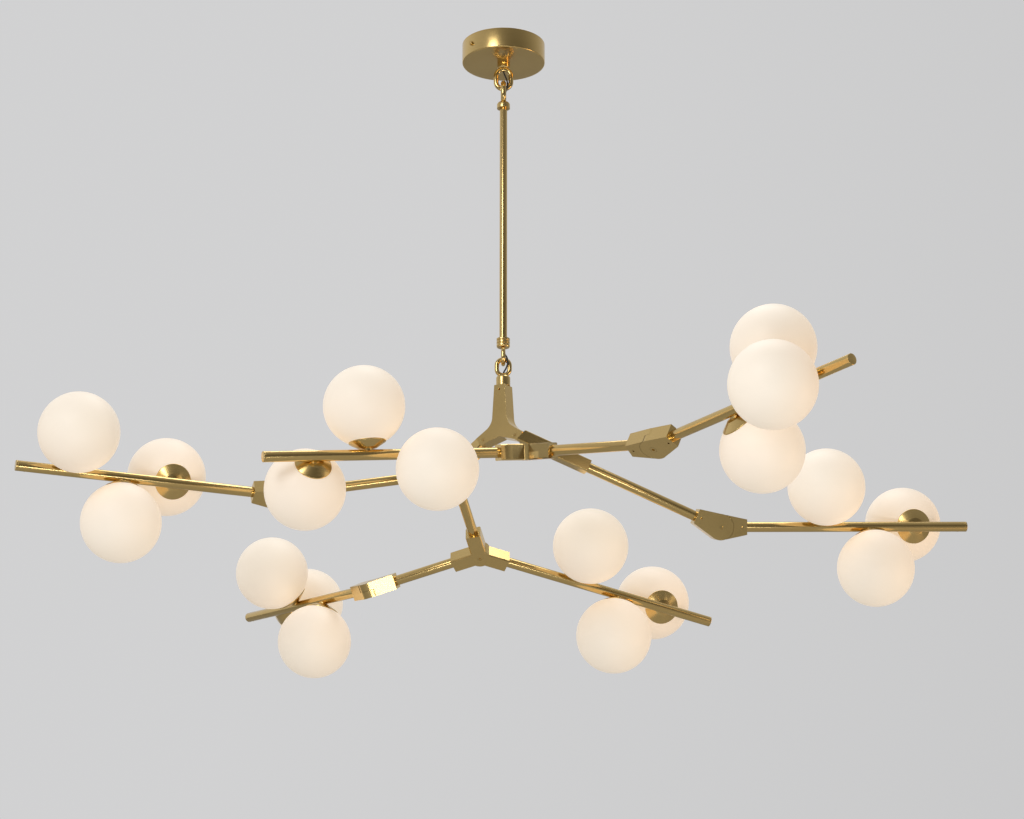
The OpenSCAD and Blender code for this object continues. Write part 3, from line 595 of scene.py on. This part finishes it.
def link(name, body, node, bar, width, height, hangs):
    """A polished link. One that hangs from its collar ends at the node's foot, the other at its top."""
    low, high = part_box(node)
    path = link_path(bar * MM, width * MM, height * MM)
    piece = sweep(name, path, bar / 2 * MM, 28, closed=True)
    top = low.z + height * MM if hangs else high.z
    turn = math.pi / 2 if body == "rod" else 0
    matrix = Matrix.Translation((0, 0, top)) @ Matrix.Rotation(turn, 4, "Z")
    return finish(piece, body, node, bright_brass, matrix)


# %% The four links: piece, body, node, bar, width and height in millimetres, and how it hangs
links = [
    ("canopy_link", "ceiling", "canopy_loop", 8, 32, 42, True),
    ("rod_top_link", "rod", "rod_top_loop", 9, 33, 40, False),
    ("rod_bottom_link", "rod", "rod_bottom_loop", 7, 27, 32, True),
    ("hub_link", "hub", "hub_loop", 7, 27, 33, False),
]
for row in links:
    link(*row)
print("links:", len(links), "made as sweeps")

# %% [markdown]
# ## Collars and rod
# The collars are short turned pieces. The lower one on the rod has three ridges, as a threaded
# ring for adjusting would have. The rod itself is a drawn tube, brushed along its length.


# %% Turned collars
def collar(name, body, node, foot, outline):
    """A turned piece whose outline is given in millimetres above its foot."""
    points = [(r * MM, z * MM) for r, z in outline]
    piece = lathe(name, soften(points, 0.5 * MM, 4), 64)
    return finish(piece, body, node, turned_brass, Matrix.Translation((0, 0, foot)))


# %% The five collars, as (radius, height) in millimetres
BORE = 3.0
CANOPY_COLLAR_H = 9
SHANK_H = 25
TOP_COLLAR_H = 10
RIDGED_COLLAR_H = 15
HUB_COLLAR_H = 16
canopy_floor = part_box("canopy")[0].z
rod_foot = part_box("rod_bottom_loop")[1].z
collar("canopy_collar", "ceiling", "canopy_loop", canopy_floor - CANOPY_COLLAR_H * MM,
       [(BORE, 0), (8.6, 0), (10, 1.4), (10, CANOPY_COLLAR_H), (BORE, CANOPY_COLLAR_H)])
collar("shank", "ceiling", "canopy_loop", canopy_floor,
       [(BORE, 0), (5, 0), (5, SHANK_H), (BORE, SHANK_H)])
collar("rod_top_collar", "rod", "rod_top_loop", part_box("rod_top_loop")[0].z,
       [(BORE, 0), (10.5, 0), (10.5, 7.4), (9.0, TOP_COLLAR_H), (BORE, TOP_COLLAR_H)])
ridges = [(10.5, RIDGED_COLLAR_H), (10.5, 12), (9.5, 11.7), (9.5, 10.3), (10.5, 10), (10.5, 7),
          (9.5, 6.7), (9.5, 5.3), (10.5, 5), (10.5, 2), (9.3, 0)]
collar("rod_ridged_collar", "rod", "rod_bottom_loop", rod_foot - RIDGED_COLLAR_H * MM,
       [(BORE, 0), (BORE, RIDGED_COLLAR_H)] + ridges)
collar("hub_collar", "hub", "hub_loop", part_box("hub_loop")[0].z,
       [(BORE, 0), (11, 0), (11, 13.4), (9.4, HUB_COLLAR_H), (BORE, HUB_COLLAR_H)])
print("collars:", 5)


# %% Drawn tubes
ROD_WALL = 1.5
TUBE_WALL = 1.2


def drawn_tube(name, body, node, wall):
    """A tube on a CAD node's own line, with its origin at the end nearer the rod's axis."""
    start, end = line_of(node)
    along = end - start
    points = points_of(node) - np.array(start)
    away = np.linalg.norm(np.cross(points, np.array(along.normalized())), axis=1)
    radius = away.max()
    length = along.length
    bore_r = radius - wall * MM
    outline = [(radius, 0), (radius, length), (bore_r, length), (bore_r, 0)]
    piece = lathe(name, soften(outline, 0.35 * MM, 3))
    side = UP if abs(along.normalized().z) < 0.9 else Vector((1, 0, 0))
    finish(piece, body, node, tube_brass, axes(start, along, side))
    return start, end, radius


rod_start, rod_end, rod_r = drawn_tube("rod_tube", "rod", "down_rod", ROD_WALL)
print("rod: %.0f mm long, %.1f mm across" % ((rod_end - rod_start).length / MM, 2 * rod_r / MM))

# %% [markdown]
# ## Cable
# A thin black cable feeds the lamps. It leaves the terminal block, drops through the shank,
# passes loosely through both pairs of loops and ends in the hub. It crosses both hinges, so it
# is made in two lengths that meet inside the rod.

# %% The cable's route, given point by point, in millimetres
TOP_HINGE = 77.0
LOW_HINGE = 543.2
ROD_MIDDLE = -200 - TOP_HINGE
cable_high = [
    (13.94, 5.17, -10.67), (7, 1, -6), (1.5, 0, -5), (0, 0, -12), (0, 0, -30), (0, 0, 31 - TOP_HINGE),
    (3.7, -2.4, 19 - TOP_HINGE), (5.2, -3.8, 14 - TOP_HINGE), (6.1, -5.2, 10 - TOP_HINGE),
    (6.3, -6.3, 6 - TOP_HINGE), (6.4, -7.4, 1.4 - TOP_HINGE), (5.9, -6.9, -1.5 - TOP_HINGE),
    (3.4, -4.2, -7.5 - TOP_HINGE), (1, -1.2, -13.5 - TOP_HINGE), (0, 0, -19 - TOP_HINGE),
    (0, 0, -34.7 - TOP_HINGE), (0, 0, ROD_MIDDLE),
]
cable_low = [
    (0, 0, ROD_MIDDLE), (0, 0, 41.5 - LOW_HINGE), (0, 0, 23.5 - LOW_HINGE),
    (3, -2.7, 14.5 - LOW_HINGE), (5.2, -4.8, 10 - LOW_HINGE), (6.2, -6, 7.5 - LOW_HINGE),
    (6.4, -6.1, 6.2 - LOW_HINGE), (7, -6.3, 1 - LOW_HINGE), (6.8, -6.1, -2 - LOW_HINGE),
    (5.7, -5.2, -5.8 - LOW_HINGE), (4.2, -3.8, -9 - LOW_HINGE), (0, 0, -18 - LOW_HINGE),
    (0, 0, -46 - LOW_HINGE),
]


# %% Smooth cable
CABLE_R = 1.3 * MM


def smooth_path(points, steps=6):
    """A curve through the points, in metres."""
    knots = [Vector(p) * MM for p in (points[0], *points, points[-1])]
    path = []
    for a, b, c, d in zip(knots, knots[1:], knots[2:], knots[3:]):
        for k in range(steps):
            t = k / steps
            bend = (2 * a - 5 * b + 4 * c - d) * t ** 2 + (3 * b - a - 3 * c + d) * t ** 3
            path.append(0.5 * (2 * b + (c - a) * t + bend))
    path.append(knots[-1])
    return path


def cable(name, points, nodes):
    """A length of cable swept along a smooth curve through the points, which pass around a hinge."""
    path = smooth_path(points)
    piece = sweep(name, path, CABLE_R, 12)
    piece.data.materials.append(rubber)
    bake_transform(piece)
    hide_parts(*nodes)
    length = sum((b - a).length for a, b in zip(path, path[1:]))
    print("%s: %.0f mm long" % (name, length / MM))


cable("cable_upper", cable_high, ("cable_canopy", "cable_rod"))
cable("cable_lower", cable_low, ("cable_rod", "cable_hub"))

# %% [markdown]
# ## Hub
# The riser, the three blocks and the side leg are cast and milled parts with flat satin faces.
# What makes them look real is the fine round on each edge, which a softened copy gives. The
# screws are brighter than the blocks, because they are turned and polished.

# %% Blocks and screws: piece, node, width of the edges in millimetres and finish
hub_parts = [
    ("riser_casting", "riser", 0.8, cast_brass, "satin_brass"),
    ("front_casting", "front_block", 0.8, cast_brass, "satin_brass"),
    ("side_casting", "side_leg", 0.8, cast_brass, "satin_brass"),
    ("rear_casting", "rear_block", 0.8, cast_brass, "satin_brass"),
    ("far_casting", "far_block", 0.8, cast_brass, "satin_brass"),
    ("knuckle_forks", "knuckle_bases", 0.7, cast_brass, "satin_brass"),
    ("socket_screws", "hub_screws", 0.25, bright_brass, "polished_brass"),
]
for name, node, width, material, slot in hub_parts:
    finish(softened(name, node, width), "hub", node, material)
arms = ("front", "right", "left", "back")
for side in arms:
    node = side + "_knuckle"
    tongue = softened(side + "_knuckle_tongue", node, 0.7)
    finish(tongue, side + "_arm", node, cast_brass)
print("cast parts:", len(hub_parts) + len(arms))

# %% [markdown]
# ## Tubes and bars
# The five branch tubes and the six lamp bars are the same drawn tube. Each bar is closed by a
# flat turned cap, which a small round-headed pin holds from below.

# %% Branch tubes
for side in ("front", "right", "left", "link", "back"):
    drawn_tube(side + "_branch", "hub", side + "_tube", TUBE_WALL)

# %% Lamp bars
bars = {
    "fore": ("hub", "fixed"), "far": ("hub", "fixed"),
    "front": ("front_arm", "front"), "right": ("right_arm", "right"),
    "left": ("left_arm", "left"), "back": ("back_arm", "back"),
}
bar_lines = {}
for side, (body, group) in bars.items():
    start, end, tube_r = drawn_tube(side + "_lamp_bar", body, side + "_bar", TUBE_WALL)
    bar_lines[side] = (start, end)
print("bars:", len(bars), "each %.1f mm across" % (2 * tube_r / MM))

# %% End caps and their pins
CAP_LIP = 2.5 * MM
PIN_BACK = 11.5 * MM
PIN_R = 1.5 * MM
PIN_SINK = 1.2 * MM
PIN_BED = 0.1 * MM
PIN_CROWN = 0.5 * MM
pin_outline = [(0, -PIN_SINK, 0), (PIN_R, -PIN_SINK, 0), (PIN_R, PIN_BED), (0, PIN_CROWN, 0)]
cap_outline = [(0, 0, 0), (tube_r, 0), (tube_r, CAP_LIP, 0.6 * MM), (0, CAP_LIP, 0)]
for side, (body, group) in bars.items():
    start, end = bar_lines[side]
    along = (end - start).normalized()
    cap_node = "fixed_end_caps" if group == "fixed" else group + "_end_cap"
    cap = lathe(side + "_cap", soften(cap_outline, 0.2 * MM, 4), 64)
    finish(cap, body, cap_node, turned_brass, axes(end, along, UP))
    below = (along * UP.dot(along) - UP).normalized()
    pin_place = end - along * PIN_BACK + below * (tube_r - PIN_BED)
    pin = lathe(side + "_cap_pin", soften(pin_outline, 0.3 * MM, 4), 24)
    finish(pin, body, side + "_bar", bright_brass, axes(pin_place, below, along))
print("caps and pins:", len(bars), "of each")

# %% [markdown]
# ## Lamps
# Three lamps sit on each bar, a third of a turn apart. The line from the bar's axis to a
# globe's centre gives each lamp its own upright, and cup and globe are turned about it. The
# globes are thin shells with a neck opening. They sit in shallow spun cups with a rolled rim.


# %% Globe centres
def loose_parts(node):
    """The points of each separate solid in a CAD node, sorted so that every run gives the same order."""
    work = bmesh.new()
    work.from_mesh(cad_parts[node].data)
    bmesh.ops.remove_doubles(work, verts=work.verts, dist=WELD)
    left = set(work.verts)
    parts = []
    while left:
        front = [left.pop()]
        part = []
        while front:
            vert = front.pop()
            part.append(tuple(vert.co))
            for edge in vert.link_edges:
                other = edge.other_vert(vert)
                if other in left:
                    left.discard(other)
                    front.append(other)
        parts.append(np.array(sorted(part)))
    work.free()
    return sorted(parts, key=lambda points: tuple(points[0]))


SKIN = 1.5 * MM


def ball_through(points):
    """Centre and radius of the sphere through the outermost points."""
    centre = (points.max(0) + points.min(0)) / 2
    for _ in range(3):
        away = np.linalg.norm(points - centre, axis=1)
        outer = points[away > away.max() - SKIN]
        terms = np.c_[2 * outer, np.ones(len(outer))]
        found = np.linalg.lstsq(terms, (outer ** 2).sum(1), rcond=None)[0]
        centre = found[:3]
    return Vector(centre), math.sqrt(found[3] + centre @ centre)


balls = {}
for group in ("fixed", *arms):
    balls[group] = [ball_through(part) for part in loose_parts(group + "_globes")]
globe_r = balls["front"][0][1]
print("globes:", sum(len(found) for found in balls.values()), "each %.1f mm across" % (2 * globe_r / MM))

# %% Globe and cup outlines
GLASS = 2.5 * MM
NECK_R = 12.0 * MM
REACH = 73.0 * MM
REACH_SLACK = 2 * MM
CUP_R = 27.5 * MM
CUP_GAP = 0.3 * MM
CUP_HOLE_R = 3.2 * MM
CUP_FOOT_R = 7.0 * MM
CUP_FOOT_Z = 5.4 * MM
CUP_STEP_Z = 8.6 * MM
CUP_FLARE = (13.5 * MM, 9.8 * MM)
CUP_THROAT_R = 12.3 * MM
CUP_FLOOR_Z = 11.5 * MM
CUP_RIM_R = 0.5 * MM


def arc(radius, first, last, steps):
    """Points of (radius, height) on a circle, by angle above its middle in degrees."""
    made = []
    for k in range(steps + 1):
        angle = math.radians(first + (last - first) * k / steps)
        made.append((radius * math.cos(angle), radius * math.sin(angle)))
    return made


def globe_outline():
    """A thin ball with an open neck below, about its own middle."""
    outer_low = -math.degrees(math.acos(NECK_R / globe_r))
    inner_low = -math.degrees(math.acos(NECK_R / (globe_r - GLASS)))
    outer = arc(globe_r, outer_low, 90, 56)
    inner = arc(globe_r - GLASS, 90, inner_low, 40)
    return outer[:-1] + [(0, globe_r), (0, globe_r - GLASS)] + inner[1:]


def cup_outline():
    """A spun cup, whose heights are measured from the bar's axis."""
    seat_r = globe_r + CUP_GAP
    rim = -math.degrees(math.acos(CUP_R / seat_r))
    floor = -math.degrees(math.acos(CUP_THROAT_R / seat_r))
    inside = [(r, z + REACH) for r, z in arc(seat_r, rim, floor, 10)]
    rim_z = inside[0][1]
    outside = soften([
        (CUP_HOLE_R, CUP_FOOT_Z, 0), (CUP_FOOT_R, CUP_FOOT_Z, 0), (CUP_FOOT_R, CUP_STEP_Z), CUP_FLARE,
        (CUP_R, rim_z - 1.2 * MM, CUP_RIM_R), (CUP_R, rim_z + CUP_RIM_R, CUP_RIM_R),
    ], 0.4 * MM)
    return outside + inside[1:] + [(CUP_THROAT_R, CUP_FLOOR_Z), (CUP_HOLE_R, CUP_FLOOR_Z)]


def turn_mesh(piece, matrix):
    """Turns the mesh itself, so that its box stays tight. Each point first notes its own height."""
    heights = piece.data.attributes.new("height", "FLOAT", "POINT")
    heights.data.foreach_set("value", [vertex.co.z for vertex in piece.data.vertices])
    piece.data.transform(matrix.to_3x3().to_4x4())
    return Matrix.Translation(matrix.translation)


# %% Cups and globes on their bars
for side, (body, group) in bars.items():
    start, end = bar_lines[side]
    along = (end - start).normalized()
    lamps = []
    for centre, _ in balls[group]:
        foot = start + along * (centre - start).dot(along)
        if abs((centre - foot).length - REACH) < REACH_SLACK:
            lamps.append(((end - foot).length, foot, centre))
    lamps.sort(key=lambda row: row[0])
    for number, (_, foot, centre) in enumerate(lamps, 1):
        upright = centre - foot
        cup = lathe("%s_cup_%d" % (side, number), cup_outline(), 72)
        finish(cup, body, group + "_cups", turned_brass, axes(foot, upright, along))
        globe = lathe("%s_globe_%d" % (side, number), globe_outline(), 96)
        place = turn_mesh(globe, axes(centre, upright, along))
        finish(globe, body, group + "_globes", glass, place)
    print(side, "bar: lamps", ", ".join("%.0f mm from its end" % (row[0] / MM) for row in lamps))

# %% [markdown]
# The lampholders and bulbs are inside the globes, where opal glass hides them. They keep their
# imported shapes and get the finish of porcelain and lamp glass.

# %% Lampholders and bulbs
for group in balls:
    for node, material in ((group + "_lampholders", porcelain), (group + "_bulbs", clear)):
        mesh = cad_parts[node].data
        mesh.materials.clear()
        mesh.materials.append(material)
shown = [name for name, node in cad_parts.items() if not node.hide_render]
print("CAD nodes that still show:", ", ".join(sorted(shown)))

# %% [markdown]
# ## Floor, background and light
# A lamp that hangs in the air needs little around it: a pale floor far below for its shadow,
# and a pale surround. Brass is a mirror with a tint, so it shows whatever is around it. Large
# soft lamps give it broad bright stripes, and the surround darkens slowly towards the viewer's
# side, so that the stripes have something darker beside them. Seen from behind, the room is
# therefore darker.

# %% Floor
FLOOR_Z = -2.3
FLOOR_HALF = 14.0
corner_signs = ((-1, -1), (1, -1), (1, 1), (-1, 1))
floor_corners = [(x * FLOOR_HALF, y * FLOOR_HALF, FLOOR_Z) for x, y in corner_signs]
floor = new_piece("floor", floor_corners, [(0, 1, 2, 3)])
floor.data.materials.append(plain("pale_floor", (0.50, 0.50, 0.49), (0.54, 0.54, 0.53), 0.6))
floor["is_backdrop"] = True
print("floor: %.1f m below the ceiling" % -FLOOR_Z)

# %% Surround
DARK_SIDE = (0.11, 0.105, 0.095)
PALE_SIDE = (0.64, 0.64, 0.645)
world = bpy.data.worlds.new("studio")
bpy.context.scene.world = world
sky = Tree(world)
direction = sky.add("TexCoord").value("Generated")
part = sky.add("SeparateXYZ", {}, {0: direction})
lean = (part.value("X") * -0.25 + part.value("Y") * 0.45 + part.value("Z") * 0.20 + 0.5).clamped()
surround = sky.mix(lean, DARK_SIDE, PALE_SIDE)
light = sky.add("Background", {}, {"Color": surround, "Strength": 1.0})
sky.add("OutputWorld", {}, {"Surface": light.value("Background")})


# %% Lamps
def soft_lamp(name, place, target, size, power, colour=(1, 1, 1)):
    """A large soft lamp that looks at a point."""
    data = bpy.data.lights.new(name, "AREA")
    data.shape = "RECTANGLE"
    data.size, data.size_y = size
    data.energy = power
    data.color = colour
    lamp = bpy.data.objects.new(name, data)
    lamp.location = place
    lamp.rotation_euler = (Vector(target) - Vector(place)).to_track_quat("-Z", "Y").to_euler()
    bpy.context.scene.collection.objects.link(lamp)


MIDDLE = (0, 0, -0.65)
WARM = (1.0, 0.66, 0.38)
soft_lamp("key", (-1.7, -3.2, 0.6), MIDDLE, (1.2, 1.6), 34)
soft_lamp("warm_fill", (3.0, -0.6, -1.7), MIDDLE, (0.6, 1.6), 22, WARM)
soft_lamp("top", (0.3, 0.5, 1.8), MIDDLE, (2.0, 1.0), 18)
soft_lamp("low_strip", (-0.2, -2.7, -2.1), MIDDLE, (2.6, 0.14), 16)

# %% [markdown]
# ## Size and finish
# The dressed lamp must be as large as the imported one, so both boxes are printed side by side.

# %% Colour and size
bpy.context.scene.view_settings.view_transform = "Standard"
visual_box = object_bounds()
for label, (low, high) in (("CAD box", cad_box), ("visual box", visual_box)):
    print(label, "mm:", " x ".join("%.1f" % (side / MM) for side in high - low))
